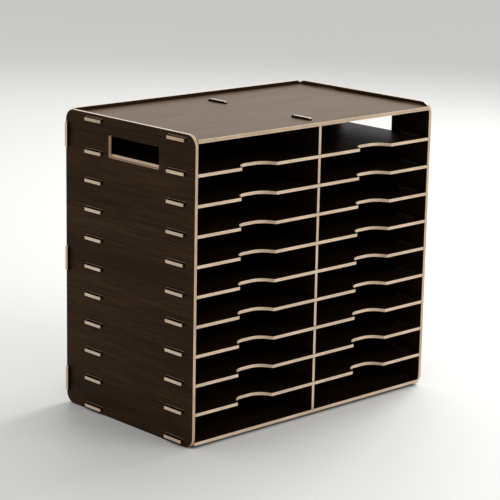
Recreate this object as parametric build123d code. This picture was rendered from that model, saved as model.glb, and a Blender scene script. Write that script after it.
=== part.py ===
from build123d import *
import os

# A literature sorter: slotted boards that lock together into two columns of flat pigeonholes.
# Lengths are in millimetres. The origin is the middle of the footprint on the table,
# +Z points up and the open front faces -Y.

# The carcass. Width and depth are measured over the two side panels.
board = 5.5
outer_width = 484.0
outer_depth = 292.0
side_corner_radius = 17.0

# The rows, counted upwards from the bottom panel. The row under the top panel is the tall one.
shelf_count = 9
row_pitch = 43.5
top_row_pitch = 48.0
under_gap = 4.5
top_lip = 6.0

# The tabs that pass through a neighbouring board, and the room that their slots leave them.
tab_length = 38.0
tab_reach = 4.5
tab_corner_radius = 2.5
front_tab_setback = 20.5
rear_tab_setback = 48.5
slot_head_room = 0.9
slot_front_room = 1.6
slot_rear_room = 0.3

# The back panel stands between the sides, just in front of their rear edges.
back_inset = 3.0
back_corner_radius = 9.0
back_tab_setback = 19.75
back_slot_room = 0.4

# The centre divider and the shelves cross in half-depth slots.
divider_tab_reach = 3.5
crossing_room = 0.3
crossing_depth_share = 0.5

# One finger notch in the front edge of each shelf, per column: sloping ends and a rounded floor.
notch_width = 68.5
notch_floor_width = 46.5
notch_depth = 21.0
notch_floor_radius = 25.5
notch_end_radius = 1.5

# The carrying handle, cut through each side between the two tabs of the highest shelf.
handle_front_gap = 19.5
handle_rear_gap = 14.5
handle_height = 33.0
handle_corner_radius = 3.0

# Every cut that runs out of a board goes past its edge by this much.
cut_overrun = 1.0

# Places that follow from the sizes above
outer_half = outer_width / 2
inner_half = outer_half - board
inner_width = 2 * inner_half
front = -outer_depth / 2
rear = outer_depth / 2
back_rear_face = rear - back_inset
back_front_face = back_rear_face - board
shelf_depth = back_front_face - front
crossing_line = front + shelf_depth * crossing_depth_share
column_centre = (board / 2 + inner_half) / 2

# The underside of each horizontal board: the bottom panel, the shelves, the top panel
shelf_undersides = [under_gap + row_pitch * (row + 1) for row in range(shelf_count)]
top_underside = under_gap + row_pitch * shelf_count + top_row_pitch
undersides = [under_gap, *shelf_undersides, top_underside]
side_height = top_underside + board + top_lip

# The middle of each tab along the depth and the ends of its slot, and the middle of each back tab
# along the height
tab_middles = [
    front + front_tab_setback + tab_length / 2,
    rear - rear_tab_setback - tab_length / 2,
]
slot_ends = [
    (middle - tab_length / 2 - slot_front_room, middle + tab_length / 2 + slot_rear_room)
    for middle in tab_middles
]
back_tab_middles = [
    back_tab_setback + tab_length / 2,
    side_height / 2,
    side_height - back_tab_setback - tab_length / 2,
]


def span(left, right, low, high):
    """A rectangle given by its four edges."""
    middle = Pos((left + right) / 2, (low + high) / 2)
    return middle * Rectangle(right - left, high - low)


def tab_outline(reach):
    """A tab that points along +X from a board's edge at X = 0, with its two outer corners rounded."""
    plain = span(-board, reach, -tab_length / 2, tab_length / 2)
    return fillet(plain.vertices().group_by(Axis.X)[-1], tab_corner_radius)


def side_tabs(middles):
    """The tabs on the left and right edges of a board that spans the space between the sides."""
    through = tab_outline(board + tab_reach)
    right = [Pos(inner_half, middle) * through for middle in middles]
    left = [Pos(-inner_half, middle) * Rot(0, 0, 180) * through for middle in middles]
    return right + left


def divider_tab_slots():
    """The slots for the divider's tabs in the top and bottom panels."""
    half_width = (board + crossing_room) / 2
    return [span(-half_width, half_width, *ends) for ends in slot_ends]


def horizontal_board(outline, underside):
    """A board that lies flat, from its plan."""
    return extrude(Plane.XY.offset(underside) * outline, board)


def plain_plan():
    """The plan shared by every horizontal board: flush at the front, with two tabs at each end."""
    body = span(-inner_half, inner_half, front, back_front_face)
    return body + side_tabs(tab_middles)


def panel_plan():
    """The plan of the top and bottom panels, with slots for the divider's tabs."""
    return plain_plan() - divider_tab_slots()


def notch_outline():
    """A finger notch that opens along -Y at Y = 0, with its two floor corners widely rounded."""
    mouth = notch_width / 2
    floor = notch_floor_width / 2
    overrun = cut_overrun * (mouth - floor) / notch_depth
    plain = make_face(
        Polyline(
            (-mouth - overrun, -cut_overrun),
            (mouth + overrun, -cut_overrun),
            (floor, notch_depth),
            (-floor, notch_depth),
            close=True,
        )
    )
    return fillet(plain.vertices().group_by(Axis.Y)[-1], notch_floor_radius)


def shelf_plan():
    """The plan of a shelf: a finger notch per column and a slot at the rear for the divider."""
    notch = notch_outline()
    notches = [Pos(side * column_centre, front) * notch for side in (-1, 1)]
    half_slot = (board + crossing_room) / 2
    divider_slot = span(-half_slot, half_slot, crossing_line, back_front_face + cut_overrun)
    sharp = plain_plan() - notches - divider_slot
    front_corners = sharp.vertices().group_by(Axis.Y)[0].sort_by(Axis.X)
    notch_ends = front_corners[1:-1]
    return fillet(notch_ends, notch_end_radius)


def side_outline():
    """A side panel seen from the right, with Y across and Z up: slots for every tab and the handle."""
    body = Pos(0, side_height / 2) * RectangleRounded(outer_depth, side_height, side_corner_radius)
    shelf_slots = [
        span(*ends, underside, underside + board + slot_head_room)
        for underside in undersides
        for ends in slot_ends
    ]
    half_tab = tab_length / 2
    back_slots = [
        span(
            back_front_face - back_slot_room,
            back_rear_face + back_slot_room,
            middle - half_tab,
            middle + half_tab + slot_head_room,
        )
        for middle in back_tab_middles
    ]
    handle_front = tab_middles[0] + half_tab + handle_front_gap
    handle_rear = tab_middles[1] - half_tab - handle_rear_gap
    handle_middle = Pos((handle_front + handle_rear) / 2, shelf_undersides[-1] + handle_height / 2)
    handle_length = handle_rear - handle_front
    handle = handle_middle * RectangleRounded(handle_length, handle_height, handle_corner_radius)
    return body - shelf_slots - back_slots - handle


def back_outline():
    """The back panel seen from the front, with X across and Z up: rounded corners, three tabs a side."""
    body = RectangleRounded(inner_width, side_height, back_corner_radius)
    return Pos(0, side_height / 2) * body + side_tabs(back_tab_middles)


def divider_outline():
    """The divider seen from the right, with Y across and Z up: a slot per shelf, open to the front."""
    low = under_gap + board
    body = span(front, back_front_face, low, top_underside)
    through = tab_outline(board + divider_tab_reach)
    upper_tabs = [Pos(middle, top_underside) * Rot(0, 0, 90) * through for middle in tab_middles]
    lower_tabs = [Pos(middle, low) * Rot(0, 0, -90) * through for middle in tab_middles]
    shelf_slots = [
        span(front - cut_overrun, crossing_line, underside, underside + board + crossing_room)
        for underside in shelf_undersides
    ]
    return body + upper_tabs + lower_tabs - shelf_slots


# The boards, each cut from its outline
side = side_outline()
panel = panel_plan()
shelf = shelf_plan()
boards = {
    "left_side_panel": extrude(Plane.YZ.offset(-outer_half) * side, board),
    "right_side_panel": extrude(Plane.YZ.offset(inner_half) * side, board),
    "back_panel": extrude(Plane.XZ.offset(-back_rear_face) * back_outline(), board),
    "bottom_panel": horizontal_board(panel, under_gap),
    "top_panel": horizontal_board(panel, top_underside),
    "centre_divider": extrude(Plane.YZ.offset(-board / 2) * divider_outline(), board),
}
for number, underside in enumerate(shelf_undersides, start=1):
    boards[f"shelf_{number}"] = horizontal_board(shelf, underside)

os.makedirs("parts", exist_ok=True)
for name, solid in boards.items():
    export_step(solid, f"parts/{name}.step")
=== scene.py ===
import bpy
import numpy as np
from mathutils import Matrix, Vector


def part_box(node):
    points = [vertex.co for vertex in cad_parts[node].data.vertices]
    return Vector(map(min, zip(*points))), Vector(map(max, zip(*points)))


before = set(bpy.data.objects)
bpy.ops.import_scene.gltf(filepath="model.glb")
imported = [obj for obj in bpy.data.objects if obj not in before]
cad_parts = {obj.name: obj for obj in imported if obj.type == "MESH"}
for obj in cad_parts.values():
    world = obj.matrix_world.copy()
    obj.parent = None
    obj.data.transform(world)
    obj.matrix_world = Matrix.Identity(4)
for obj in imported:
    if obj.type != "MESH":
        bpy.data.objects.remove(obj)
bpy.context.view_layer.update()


# Side panels: two upright fibreboards faced with dark walnut laminate, cut with rounded corners, a
# handle hole and a slot for every tab. The pale fibre core shows on each cut edge, the laminate only
# as a thin line beside it. Nothing but the tabs of the other boards holds them.
RISING = (0.0, 1.0)
FALLING = (1.0, 0.0)


def shader_node(tree, kind, inputs=None, **options):
    """Adds one node to a material: its options, then each input as a constant or as a link."""
    node = tree.nodes.new(kind)
    for option, value in options.items():
        setattr(node, option, value)
    for socket, value in (inputs or {}).items():
        if isinstance(value, bpy.types.NodeSocket):
            tree.links.new(value, node.inputs[socket])
        else:
            node.inputs[socket].default_value = value
    return node


def blend_colours(tree, factor, first, second, mode="MIX"):
    """One colour laid over another by a factor, as a Mix node in colour mode."""
    mix = shader_node(tree, "ShaderNodeMix", data_type="RGBA", blend_type=mode)
    for socket, value in (("Factor_Float", factor), ("A_Color", first), ("B_Color", second)):
        target = next(s for s in mix.inputs if s.identifier == socket)
        if isinstance(value, bpy.types.NodeSocket):
            tree.links.new(value, target)
        else:
            target.default_value = value
    return next(s for s in mix.outputs if s.identifier == "Result_Color")


def shade(tree, colour, tone):
    """A colour times a tone, which is a grey level or another colour."""
    return blend_colours(tree, 1.0, colour, tone, "MULTIPLY")


def blend_numbers(tree, factor, first, second):
    """One number passing into another by a factor, as a Mix node in number mode."""
    mix = shader_node(
        tree, "ShaderNodeMix", {"Factor": factor, "A": first, "B": second}, data_type="FLOAT"
    )
    return mix.outputs["Result"]


def colour_steps(tree, factor, steps):
    """A colour ramp through the given (position, colour) steps."""
    ramp = shader_node(tree, "ShaderNodeValToRGB", {"Fac": factor})
    points = ramp.color_ramp.elements
    for position, _ in steps[1:-1]:
        points.new(position)
    for point, (position, colour) in zip(points, steps):
        point.position = position
        point.color = colour
    return ramp.outputs["Color"]


def remap(tree, value, from_range, to_range):
    """A smooth step of a value from one range to another."""
    step = shader_node(
        tree,
        "ShaderNodeMapRange",
        {
            "Value": value,
            "From Min": from_range[0],
            "From Max": from_range[1],
            "To Min": to_range[0],
            "To Max": to_range[1],
        },
        interpolation_type="SMOOTHSTEP",
    )
    return step.outputs["Result"]


def maths(tree, operation, first, second=0.0):
    """The result of one Math node."""
    node = shader_node(tree, "ShaderNodeMath", {0: first, 1: second}, operation=operation)
    return node.outputs[0]


def distance_from(tree, value, middle):
    """How far a value lies from a middle, on either side of it."""
    return maths(tree, "ABSOLUTE", maths(tree, "SUBTRACT", value, middle))


def distance_from_middle(tree, parted, box, axis):
    """How far a point lies from the middle of the board along one axis."""
    middle = (box[0] + box[1])["XYZ".index(axis)] / 2
    return distance_from(tree, parted.outputs[axis], middle)


def half_length(box, axis):
    """Half the length of a board along one axis."""
    return (box[1] - box[0])["XYZ".index(axis)] / 2


def drawn_out_noise(tree, place, grain, figure_shift, figure):
    """Noise that is drawn out along the grain.

    The figure gives how often it repeats in a metre, along the grain and across it, and then its
    detail and its roughness.
    """
    along, aside, detail, roughness = figure
    scale = [aside] * 3
    scale["XYZ".index(grain)] = along
    stretched = shader_node(
        tree, "ShaderNodeMapping", {"Vector": place, "Location": figure_shift, "Scale": scale}
    )
    noise = shader_node(
        tree,
        "ShaderNodeTexNoise",
        {
            "Vector": stretched.outputs["Vector"],
            "Scale": 1.0,
            "Detail": detail,
            "Roughness": roughness,
        },
    )
    return noise.outputs["Fac"]


WALNUT_DARK = (0.0185, 0.0090, 0.0036, 1.0)
WALNUT_BODY = (0.0240, 0.0122, 0.0050, 1.0)
WALNUT_RED = (0.0310, 0.0148, 0.0058, 1.0)
WALNUT_PALE = (0.0350, 0.0205, 0.0098, 1.0)
WALNUT_STEPS = ((0.30, WALNUT_DARK), (0.46, WALNUT_BODY), (0.57, WALNUT_RED), (0.72, WALNUT_PALE))
STREAK_RANGE = (0.34, 0.66)
STREAK_TONES = (0.68, 1.34)
PORE_RANGE = (0.34, 0.44)
PORE_TONES = (0.60, 1.0)


def walnut_face(tree, bands, streaks, pores, tone):
    """The face of the laminate: broad bands of walnut, in darker and paler streaks, with dark pores."""
    banded = colour_steps(tree, bands, WALNUT_STEPS)
    streak_tones = [tone * level for level in STREAK_TONES]
    streaked = shade(tree, banded, remap(tree, streaks, STREAK_RANGE, streak_tones))
    return shade(tree, streaked, remap(tree, pores, PORE_RANGE, PORE_TONES))


CORE_SHADE = (0.5590, 0.3850, 0.2430, 1.0)
CORE_BODY = (0.7450, 0.5560, 0.3870, 1.0)
CORE_PALE = (0.8330, 0.6650, 0.4950, 1.0)
CORE_STEPS = ((0.30, CORE_SHADE), (0.50, CORE_BODY), (0.70, CORE_PALE))
CLOUD_RANGE = (0.30, 0.70)
CLOUD_TONES = (0.86, 1.08)
LAYER_RANGE = (0.0, 0.8)
LAYER_TONES = (0.86, 1.03)


def fibre_core(tree, fibres, clouds, off_middle, core_tint):
    """The core on a cut edge: fine pale fibres in soft clouds, a little darker midway through."""
    fibrous = colour_steps(tree, fibres, CORE_STEPS)
    clouded = shade(tree, fibrous, remap(tree, clouds, CLOUD_RANGE, CLOUD_TONES))
    layered = shade(tree, clouded, remap(tree, off_middle, LAYER_RANGE, LAYER_TONES))
    return shade(tree, layered, core_tint)


SLOT_MIDDLES = (-0.1070, 0.0780)
SLOT_HALF_LENGTH = 0.0196
SLOT_HEAD_ROOM = 0.0009
CHIP_AND_HIGHLIGHT_WIDTH = 0.0009
CHIP_AND_HIGHLIGHT_BLUR = 0.0002
CHIP_AND_HIGHLIGHT_END_BLUR = 0.0004


def chipped_and_highlight_slot_heads(tree, parted):
    """Where a side panel has a pale line over the head of each slot: chipped laminate and a painted
    highlight.

    The rows of slots repeat up to the highest shelf, so the height over a slot is the height over
    the lowest one, wrapped at the pitch of the shelves. The top panel's slot has its own line.
    """
    first_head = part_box("bottom_panel")[1].z + SLOT_HEAD_ROOM
    top_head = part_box("top_panel")[1].z + SLOT_HEAD_ROOM
    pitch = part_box("shelf_2")[0].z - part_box("shelf_1")[0].z
    over_first = maths(tree, "SUBTRACT", parted.outputs["Z"], first_head)
    over_row = maths(tree, "FLOORED_MODULO", over_first, pitch)
    over_slot = maths(tree, "MINIMUM", over_row, distance_from(tree, parted.outputs["Z"], top_head))
    aside = [distance_from(tree, parted.outputs["Y"], middle) for middle in SLOT_MIDDLES]
    from_slot = maths(tree, "MINIMUM", *aside)
    at_head = remap(tree, over_slot, (CHIP_AND_HIGHLIGHT_WIDTH - CHIP_AND_HIGHLIGHT_BLUR, CHIP_AND_HIGHLIGHT_WIDTH), FALLING)
    in_slot = remap(tree, from_slot, (SLOT_HALF_LENGTH - CHIP_AND_HIGHLIGHT_END_BLUR, SLOT_HALF_LENGTH), FALLING)
    return maths(tree, "MULTIPLY", at_head, in_slot)


# The pale side-panel lines are wear and also painted highlights, laid only on the lit outside and rim.
LAMINATE_LINE = (0.0060, 0.0034, 0.0018, 1.0)
WORN_AND_HIGHLIGHT_LINE = (0.1100, 0.0560, 0.0240, 1.0)
CHIPPED_AND_HIGHLIGHT_LINE = (0.2600, 0.1900, 0.1300, 1.0)
CHIPPED_AND_HIGHLIGHT_FACE = (0.3000, 0.2300, 0.1600, 1.0)
OUTER_EDGE = 0.0015
OUTER_EDGE_BLUR = 0.0005
OUTSIDE_BLUR = 0.0005
RIM_BLUR = 0.0003
# The darker tone of the inner faces is painted shade: the laminate inside the pigeonholes is darkened.
INSIDE_PAINTED_SHADE = 0.4


def side_wear_and_painted_light(tree, parted, box, face):
    """The laminate's cut line and face on a side panel, with wear, painted highlight and painted shade.

    The cut line is rubbed to a paler brown round the panel and chipped paler at the handle and the
    slots, and these pale lines are also painted highlights on the arrises. That holds only where light
    falls: on the outer face, and on the rim that stands above the top panel. The inner face below the
    rim has a plain dark line and is darkened with painted shade. The pale line over each slot head,
    chipped laminate and a painted highlight, shows outside only.
    """
    clear_of_edge = []
    for axis in "YZ":
        edge = half_length(box, axis) - OUTER_EDGE
        distance = distance_from_middle(tree, parted, box, axis)
        clear_of_edge.append(remap(tree, distance, (edge, edge + OUTER_EDGE_BLUR), FALLING))
    at_cut_out = maths(tree, "MULTIPLY", *clear_of_edge)
    worn_and_highlight_line = blend_colours(tree, at_cut_out, WORN_AND_HIGHLIGHT_LINE, CHIPPED_AND_HIGHLIGHT_LINE)

    outward = maths(tree, "ABSOLUTE", parted.outputs["X"])
    halfway = (abs(box[0].x) + abs(box[1].x)) / 2
    on_outside = remap(tree, outward, (halfway - OUTSIDE_BLUR, halfway + OUTSIDE_BLUR), RISING)
    rim_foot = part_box("top_panel")[1].z
    on_rim = remap(tree, parted.outputs["Z"], (rim_foot - RIM_BLUR, rim_foot + RIM_BLUR), RISING)
    lit_outside_or_rim = maths(tree, "MAXIMUM", on_outside, on_rim)
    line = blend_colours(tree, lit_outside_or_rim, LAMINATE_LINE, worn_and_highlight_line)
    painted_shade_face = shade(tree, face, remap(tree, lit_outside_or_rim, (0.0, 1.0), (INSIDE_PAINTED_SHADE, 1.0)))
    slot_head_mark = maths(tree, "MULTIPLY", chipped_and_highlight_slot_heads(tree, parted), on_outside)
    return line, blend_colours(tree, slot_head_mark, painted_shade_face, CHIPPED_AND_HIGHLIGHT_FACE)


# The tabs are painted dark with shade: their laminate all over, and their cut edges from the root to
# short of the tip.
SHADED_TAB_LENGTH = 0.0095
SHADED_TAB_BLUR = 0.0003
BARE_TIP = 0.0018
BARE_TIP_BLUR = 0.0015


def tab_shade_masks(tree, parted, box, tab_axis):
    """Where a board is a tab, and where it is a tab's neck, which stops short of the bare tip; both
    take painted shade.
    """
    along = distance_from_middle(tree, parted, box, tab_axis)
    root = half_length(box, tab_axis) - SHADED_TAB_LENGTH
    tip = half_length(box, tab_axis) - BARE_TIP
    on_tab = remap(tree, along, (root, root + SHADED_TAB_BLUR), RISING)
    before_tip = remap(tree, along, (tip, tip + BARE_TIP_BLUR), FALLING)
    return on_tab, maths(tree, "MULTIPLY", on_tab, before_tip)


LAMINATE_THICKNESS = 0.0005
LAMINATE_BLUR = 0.00003
FACE_SKIN = 0.00006
FACE_SKIN_BLUR = 0.00004
WALNUT_BANDS = (2.2, 26.0, 3.0, 0.55)
WALNUT_STREAKS = (9.0, 330.0, 5.0, 0.62)
WALNUT_PORES = (45.0, 1700.0, 2.0, 0.5)
CORE_FIBRES = (900.0, 900.0, 5.0, 0.7)
CORE_CLOUDS = (28.0, 28.0, 3.0, 0.6)
EVEN_CORE = (1.0, 1.0, 1.0, 1.0)
TAB_PAINTED_SHADE = (0.0080, 0.0048, 0.0028, 1.0)
TAB_ROUGHNESS = 0.95
CORE_ROUGHNESS = 0.82
FACE_ROUGHNESS_RANGE = (0.30, 0.70)
FACE_ROUGHNESS = (0.36, 0.50)
RELIEF_STRENGTH = 0.22
RELIEF_DEPTH = 0.0002
SEALER_ROUGHNESS = 0.20
LAMINATE_GLOSS = 0.035
LAMINATE_SHEEN = 0.12
SHEEN_ROUGHNESS = 0.30
SHEEN_TINT = (1.0, 0.66, 0.42, 1.0)


def laminated_board_finish(
    name,
    across,
    grain,
    figure_shift,
    tone=1.0,
    sheen=LAMINATE_SHEEN,
    gloss=LAMINATE_GLOSS,
    core_tint=EVEN_CORE,
    cut_line=LAMINATE_LINE,
    is_side=False,
    tab_axis="X",
):
    """The finish of one board, read from where a point lies in the board's thickness.

    The distance from the middle of the thickness parts the fibre core, the laminate's cut line and
    the laminate's face. On the face, noise that is drawn out along the grain gives bands, streaks and
    pores. On the core, fine noise gives the fibres, and a clear sealer shines at low angles. The side
    panels have worn and chipped lines that are also painted highlights where light falls, and painted
    shade on their inner faces. The tabs are painted dark with shade up to their tips.
    """
    finish = bpy.data.materials.new(f"{name}_walnut_laminate")
    finish.use_nodes = True
    tree = finish.node_tree
    shader = tree.nodes["Principled BSDF"]
    place = shader_node(tree, "ShaderNodeTexCoord").outputs["Object"]
    parted = shader_node(tree, "ShaderNodeSeparateXYZ", {"Vector": place})
    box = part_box(name)

    depth = distance_from_middle(tree, parted, box, across)
    core_edge = half_length(box, across) - LAMINATE_THICKNESS
    core_step = (core_edge - LAMINATE_BLUR, core_edge + LAMINATE_BLUR)
    face_edge = half_length(box, across) - FACE_SKIN
    on_core = remap(tree, depth, core_step, FALLING)
    on_laminate = remap(tree, depth, core_step, RISING)
    on_face = remap(tree, depth, (face_edge, face_edge + FACE_SKIN_BLUR), RISING)
    off_middle = remap(tree, depth, (0.0, core_edge), RISING)

    bands = drawn_out_noise(tree, place, grain, figure_shift, WALNUT_BANDS)
    streaks = drawn_out_noise(tree, place, grain, figure_shift, WALNUT_STREAKS)
    pores = drawn_out_noise(tree, place, grain, figure_shift, WALNUT_PORES)
    fibres = drawn_out_noise(tree, place, grain, figure_shift, CORE_FIBRES)
    clouds = drawn_out_noise(tree, place, grain, figure_shift, CORE_CLOUDS)

    core = fibre_core(tree, fibres, clouds, off_middle, core_tint)
    face = walnut_face(tree, bands, streaks, pores, tone)
    line = cut_line
    if is_side:
        line, face = side_wear_and_painted_light(tree, parted, box, face)
    laminate = blend_colours(tree, on_face, line, face)
    laminate_roughness = remap(tree, streaks, FACE_ROUGHNESS_RANGE, FACE_ROUGHNESS)
    # Painted shade on the tabs, darker than the rest of the board.
    if tab_axis:
        on_tab, on_neck = tab_shade_masks(tree, parted, box, tab_axis)
        core = blend_colours(tree, on_neck, core, TAB_PAINTED_SHADE)
        laminate = blend_colours(tree, on_tab, laminate, TAB_PAINTED_SHADE)
        laminate_roughness = blend_numbers(tree, on_tab, laminate_roughness, TAB_ROUGHNESS)

    colour = blend_colours(tree, on_laminate, core, laminate)
    roughness = blend_numbers(tree, on_laminate, CORE_ROUGHNESS, laminate_roughness)
    relief = shader_node(
        tree,
        "ShaderNodeBump",
        {
            "Height": blend_numbers(tree, on_laminate, fibres, pores),
            "Strength": RELIEF_STRENGTH,
            "Distance": RELIEF_DEPTH,
        },
    )
    tree.links.new(colour, shader.inputs["Base Color"])
    tree.links.new(roughness, shader.inputs["Roughness"])
    tree.links.new(relief.outputs["Normal"], shader.inputs["Normal"])
    tree.links.new(on_core, shader.inputs["Coat Weight"])
    shader.inputs["Coat Roughness"].default_value = SEALER_ROUGHNESS
    shader.inputs["Specular IOR Level"].default_value = gloss
    shader.inputs["Sheen Weight"].default_value = sheen
    shader.inputs["Sheen Roughness"].default_value = SHEEN_ROUGHNESS
    shader.inputs["Sheen Tint"].default_value = SHEEN_TINT
    return finish


JOINED_DISTANCE = 1e-6
FLAT_ANGLE = np.radians(0.5)
FINE_ARRIS = 0.0002
WORN_ARRIS = 0.0007
ARRIS_SEGMENTS = 2
ARRIS_ANGLE = np.radians(40.0)
LARGE_FACE_WEIGHT = 100


def dress_board(name, across, grain, figure_shift, arris_width=FINE_ARRIS, **look):
    """Gives a board its finish and breaks its sharp arrises with a narrow rounding.

    The board comes as loose triangles, so these are joined and its flat faces made whole first.
    """
    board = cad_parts[name]
    finish = laminated_board_finish(name, across, grain, figure_shift, **look)
    board.material_slots[0].material = finish
    joined = board.modifiers.new("joined", "WELD")
    joined.merge_threshold = JOINED_DISTANCE
    flat_faces = board.modifiers.new("flat_faces", "DECIMATE")
    flat_faces.decimate_type = "DISSOLVE"
    flat_faces.angle_limit = FLAT_ANGLE
    arris = board.modifiers.new("arris", "BEVEL")
    arris.width = arris_width
    arris.segments = ARRIS_SEGMENTS
    arris.limit_method = "ANGLE"
    arris.angle_limit = ARRIS_ANGLE
    even_shade = board.modifiers.new("even_shade", "WEIGHTED_NORMAL")
    even_shade.weight = LARGE_FACE_WEIGHT


SIDE_TONE = 1.12
SIDE_CORE = (0.88, 0.80, 0.73, 1.0)
SIDE_FIGURES = {"left_side_panel": (0.0, 0.0, 0.0), "right_side_panel": (3.1, 1.7, 5.3)}
for side_name, side_figure in SIDE_FIGURES.items():
    dress_board(
        side_name,
        across="X",
        grain="Y",
        figure_shift=side_figure,
        arris_width=WORN_ARRIS,
        tone=SIDE_TONE,
        core_tint=SIDE_CORE,
        is_side=True,
        tab_axis=None,
    )


# Bottom panel: a full-depth board of the same laminated fibreboard, which closes the lowest row just
# clear of the floor. Two tabs at each end pass through the sides, and two slots in its middle take
# the divider's lower tabs. Its upper face lies in the dark of the pigeonholes.
BOTTOM_FIGURE = (7.9, 2.3, 1.1)
# The boards inside take a darker laminate tone, which is painted shade, with no sheen and little gloss.
PAINTED_SHADE_INSIDE_LOOK = {"tone": INSIDE_PAINTED_SHADE, "sheen": 0.0, "gloss": 0.02}
dress_board("bottom_panel", across="Z", grain="X", figure_shift=BOTTOM_FIGURE, **PAINTED_SHADE_INSIDE_LOOK)


# Shelves: nine alike laminated boards across both columns, each with a finger notch per column, cut
# with sloping ends and a rounded floor. A slot in the rear half of each slides over the divider, and
# the tabs at its ends lock into the sides.
SHELF_COUNT = 9
SHELF_FIGURE_STEP = Vector((1.37, 2.11, 0.73))
for number in range(1, SHELF_COUNT + 1):
    shelf_figure = number * SHELF_FIGURE_STEP
    # The shelves' laminate is darkened with painted shade.
    dress_board(f"shelf_{number}", across="Z", grain="X", figure_shift=shelf_figure, **PAINTED_SHADE_INSIDE_LOOK)


# Centre divider: an upright laminated board with a slot per shelf in its front half, so that the
# shelves run unbroken across its front edge. Two tabs go down through the bottom panel, and two show
# a little above the top panel.
DIVIDER_FIGURE = (4.4, 6.2, 9.7)
DIVIDER_CORE = (0.90, 0.90, 0.90, 1.0)
# The divider's laminate is darkened with painted shade.
dress_board(
    "centre_divider",
    across="X",
    grain="Y",
    figure_shift=DIVIDER_FIGURE,
    core_tint=DIVIDER_CORE,
    tab_axis="Z",
    **PAINTED_SHADE_INSIDE_LOOK,
)


# Top panel: a full-depth laminated board a little below the upper edges of the sides and the back,
# which stand round it as a low rim. It is cut as the bottom panel is. Its cut lines are painted pale
# all round, a painted highlight along its arrises, and its arrises are rounder.
TOP_FIGURE = (5.6, 8.8, 2.9)
TOP_CORE = (0.78, 0.73, 0.67, 1.0)
# The pale cut line is a painted highlight.
TOP_HIGHLIGHT_LINE = (0.78, 0.66, 0.53, 1.0)
TOP_SHEEN = 0.40
TOP_GLOSS = 0.06
dress_board(
    "top_panel",
    across="Z",
    grain="X",
    figure_shift=TOP_FIGURE,
    arris_width=WORN_ARRIS,
    sheen=TOP_SHEEN,
    gloss=TOP_GLOSS,
    core_tint=TOP_CORE,
    cut_line=TOP_HIGHLIGHT_LINE,
)


# Back panel: an upright laminated board between the sides, as high as they are, with rounded corners
# and three tabs through each side. It squares the whole carcass.
BACK_FIGURE = (2.2, 9.4, 6.1)
dress_board("back_panel", across="Y", grain="X", figure_shift=BACK_FIGURE)


# Floor: a plain pale surface, wide enough to fill the view. The sorter stands on it, and it keeps the
# sorter's shadow.
FLOOR_HALF = 12.0
FLOOR_COLOUR = (0.76, 0.76, 0.74, 1.0)
FLOOR_ROUGHNESS = 0.55
corners = np.array([(-1, -1, 0), (1, -1, 0), (1, 1, 0), (-1, 1, 0)]) * FLOOR_HALF
floor_mesh = bpy.data.meshes.new("floor")
floor_mesh.from_pydata(corners.tolist(), [], [(0, 1, 2, 3)])
floor = bpy.data.objects.new("floor", floor_mesh)
bpy.context.scene.collection.objects.link(floor)
floor_finish = bpy.data.materials.new("pale_floor")
floor_finish.use_nodes = True
floor_shader = floor_finish.node_tree.nodes["Principled BSDF"]
floor_shader.inputs["Base Color"].default_value = FLOOR_COLOUR
floor_shader.inputs["Roughness"].default_value = FLOOR_ROUGHNESS
floor_mesh.materials.append(floor_finish)


# Light: a key lamp on the right, a wide lamp behind on the right that glances off the top, and a large
# lamp high in front. The left side lies in soft shade, which an even white surround fills.
LAMPS = {
    "key": {
        "direction": (0.8011, 0.1126, 0.5878),
        "distance": 2.6,
        "aim_height": 0.2,
        "width": 1.1,
        "height": 1.1,
        "power": 44.0,
    },
    "back": {
        "direction": (0.66, 0.71, 0.42),
        "distance": 3.2,
        "aim_height": 0.45,
        "width": 3.0,
        "height": 1.6,
        "power": 15.0,
    },
    "front": {
        "direction": (0.40, -0.84, 0.62),
        "distance": 4.2,
        "aim_height": 0.2,
        "width": 2.0,
        "height": 2.0,
        "power": 36.0,
    },
}
SURROUND_COLOUR = (1.0, 1.0, 1.0, 1.0)
SURROUND_STRENGTH = 0.72


def soft_lamp(name, direction, distance, aim_height, width, height, power):
    """A flat lamp that stands off in one direction from a point over the origin and faces it."""
    lamp = bpy.data.lights.new(name, "AREA")
    lamp.shape = "RECTANGLE"
    lamp.size = width
    lamp.size_y = height
    lamp.energy = power
    stand = bpy.data.objects.new(name, lamp)
    outward = Vector(direction).normalized()
    stand.location = Vector((0.0, 0.0, aim_height)) + distance * outward
    stand.rotation_euler = outward.to_track_quat("Z", "Y").to_euler()
    bpy.context.scene.collection.objects.link(stand)


for lamp_name, lamp_values in LAMPS.items():
    soft_lamp(lamp_name, **lamp_values)
surround = bpy.data.worlds.new("surround")
bpy.context.scene.world = surround
surround.use_nodes = True
sky = surround.node_tree.nodes["Background"]
sky.inputs["Color"].default_value = SURROUND_COLOUR
sky.inputs["Strength"].default_value = SURROUND_STRENGTH


# Camera: a long lens from the front left, a little above the sorter, turned by a small roll. It aims
# at a point in the open front, left of the middle.
CAMERA_AIM = Vector((-0.13593, -0.146, 0.27856))
CAMERA_AZIMUTH = np.radians(-43.062)
CAMERA_ELEVATION = np.radians(13.7212)
CAMERA_ROLL = np.radians(1.1115)
CAMERA_DISTANCE = 2.7159
CAMERA_LENS = 136.56
CAMERA_SENSOR = 36.0
camera_data = bpy.data.cameras.new("camera")
camera_data.sensor_width = CAMERA_SENSOR
camera_data.lens = CAMERA_LENS
camera = bpy.data.objects.new("camera", camera_data)
turn = (
    Matrix.Rotation(CAMERA_AZIMUTH, 3, "Z")
    @ Matrix.Rotation(np.pi / 2 - CAMERA_ELEVATION, 3, "X")
    @ Matrix.Rotation(CAMERA_ROLL, 3, "Z")
)
camera.rotation_euler = turn.to_euler()
camera.location = CAMERA_AIM + turn @ Vector((0.0, 0.0, CAMERA_DISTANCE))
bpy.context.scene.collection.objects.link(camera)
bpy.context.scene.camera = camera
bpy.context.scene.view_settings.view_transform = "Standard"
